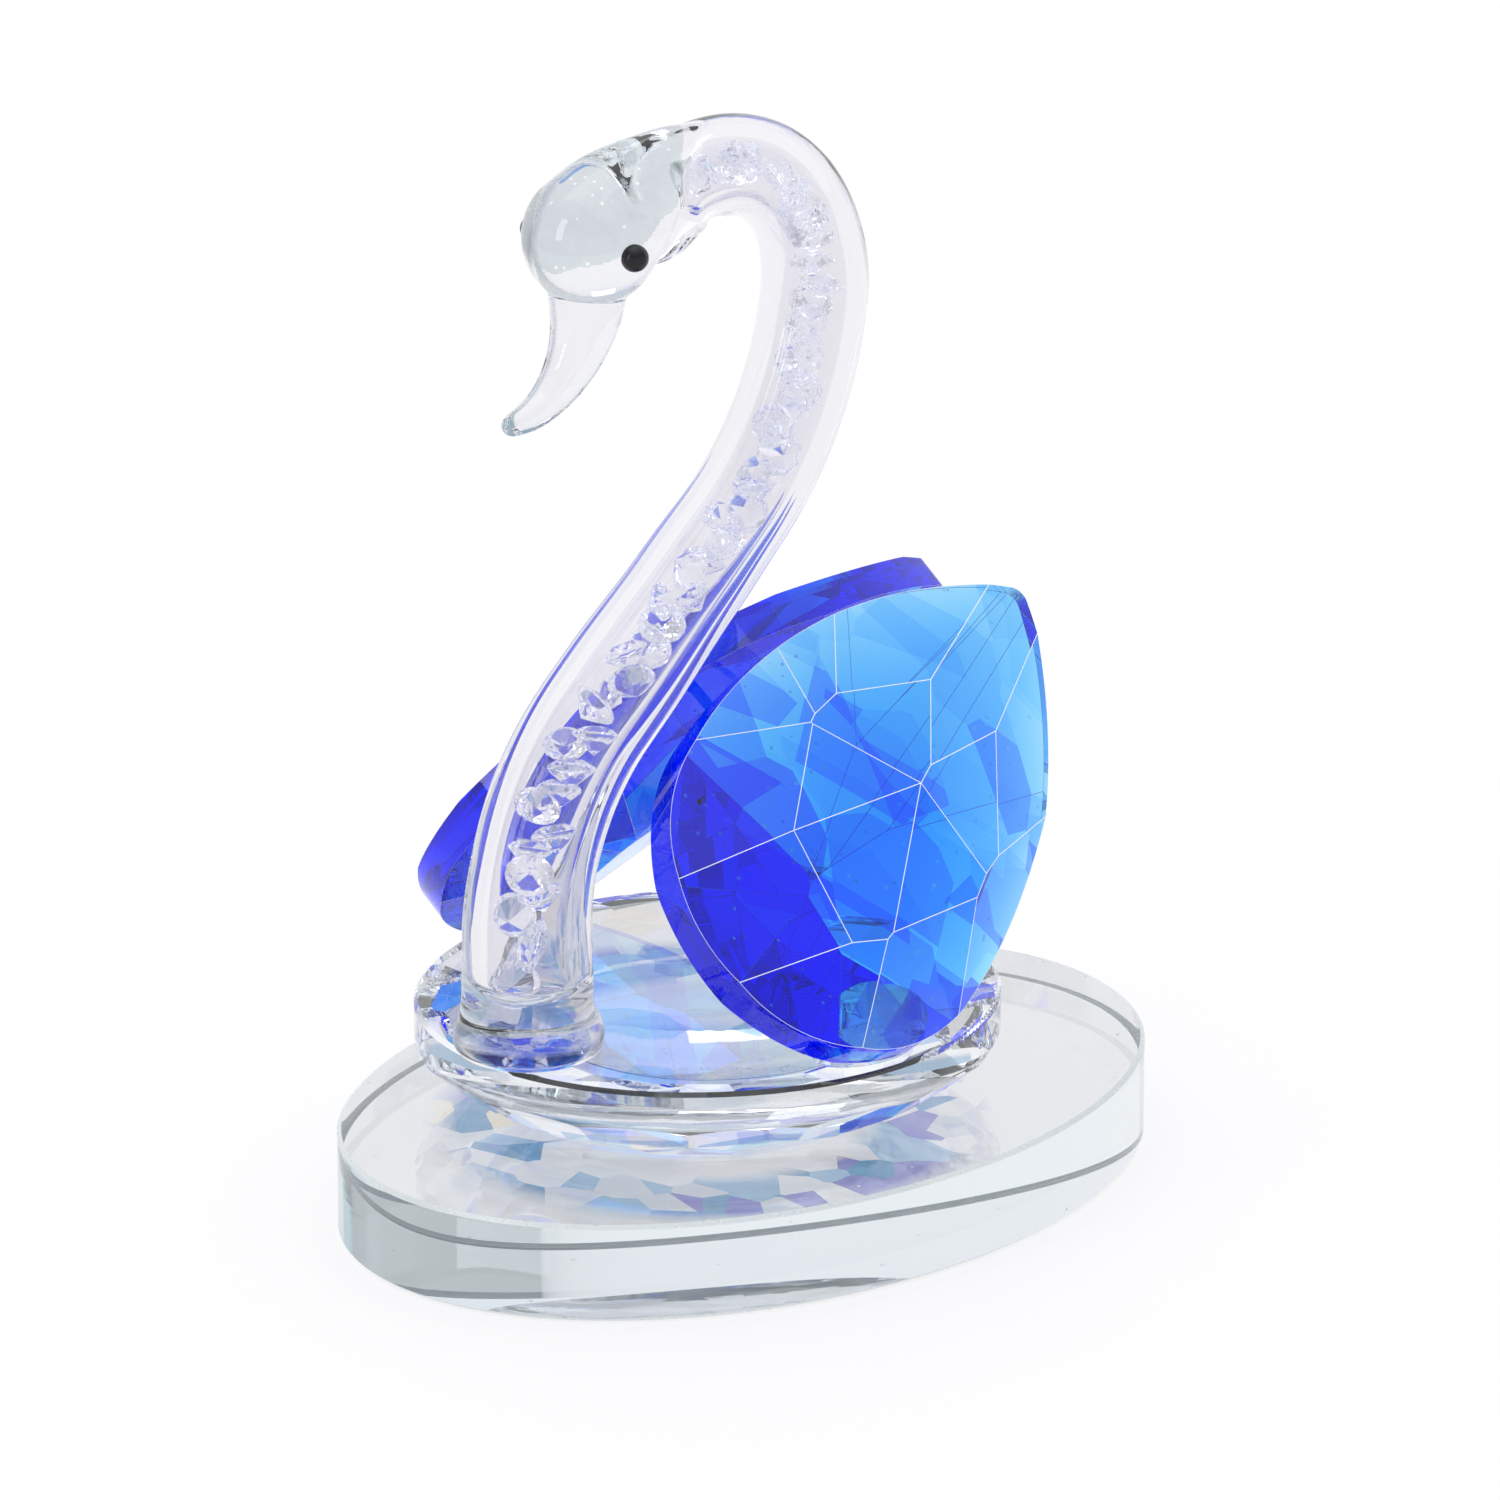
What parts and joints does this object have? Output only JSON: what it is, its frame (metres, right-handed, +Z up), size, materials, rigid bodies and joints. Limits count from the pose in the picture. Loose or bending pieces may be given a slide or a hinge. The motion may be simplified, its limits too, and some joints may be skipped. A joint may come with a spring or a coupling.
{
  "type": "crystal glass figurine",
  "caption": "Clear glass swan ornament with a stone-filled curved neck and blue faceted wings, standing on a faceted crystal and an oval base plate.",
  "frame": {"origin": "centre of the base plate's underside, on the surface it stands on", "axes": "+Z up, the swan faces -X, its left side is -Y; the XZ plane is the mirror plane"},
  "size_m": [0.1, 0.0714, 0.12],
  "materials": {
    "base_glass": "polished clear crystal with a faint green-grey edge",
    "body_glass": "polished clear crystal",
    "neck_glass": "fire-polished clear glass",
    "head_glass": "fire-polished clear glass with a grey-blue crown and small bubbles",
    "stone_crystal": "cut clear stones",
    "wing_glass": "polished blue crystal with seed bubbles",
    "resin": "clear cured adhesive",
    "eye_black": "gloss black bead"
  },
  "bodies": {
    "root": {"base_plate": "base_glass", "base_bond": "resin", "body_crystal": "body_glass", "neck_bond": "resin", "neck_foot": "neck_glass", "neck_tube": "neck_glass", "stones_lower": "stone_crystal", "stones_middle": "stone_crystal", "stones_upper": "stone_crystal", "head": "head_glass", "beak": "neck_glass", "eye_left": "eye_black", "eye_right": "eye_black", "wing_left": "wing_glass", "wing_right": "wing_glass", "wing_bond_left": "resin", "wing_bond_right": "resin"}
  },
  "joints": []
}
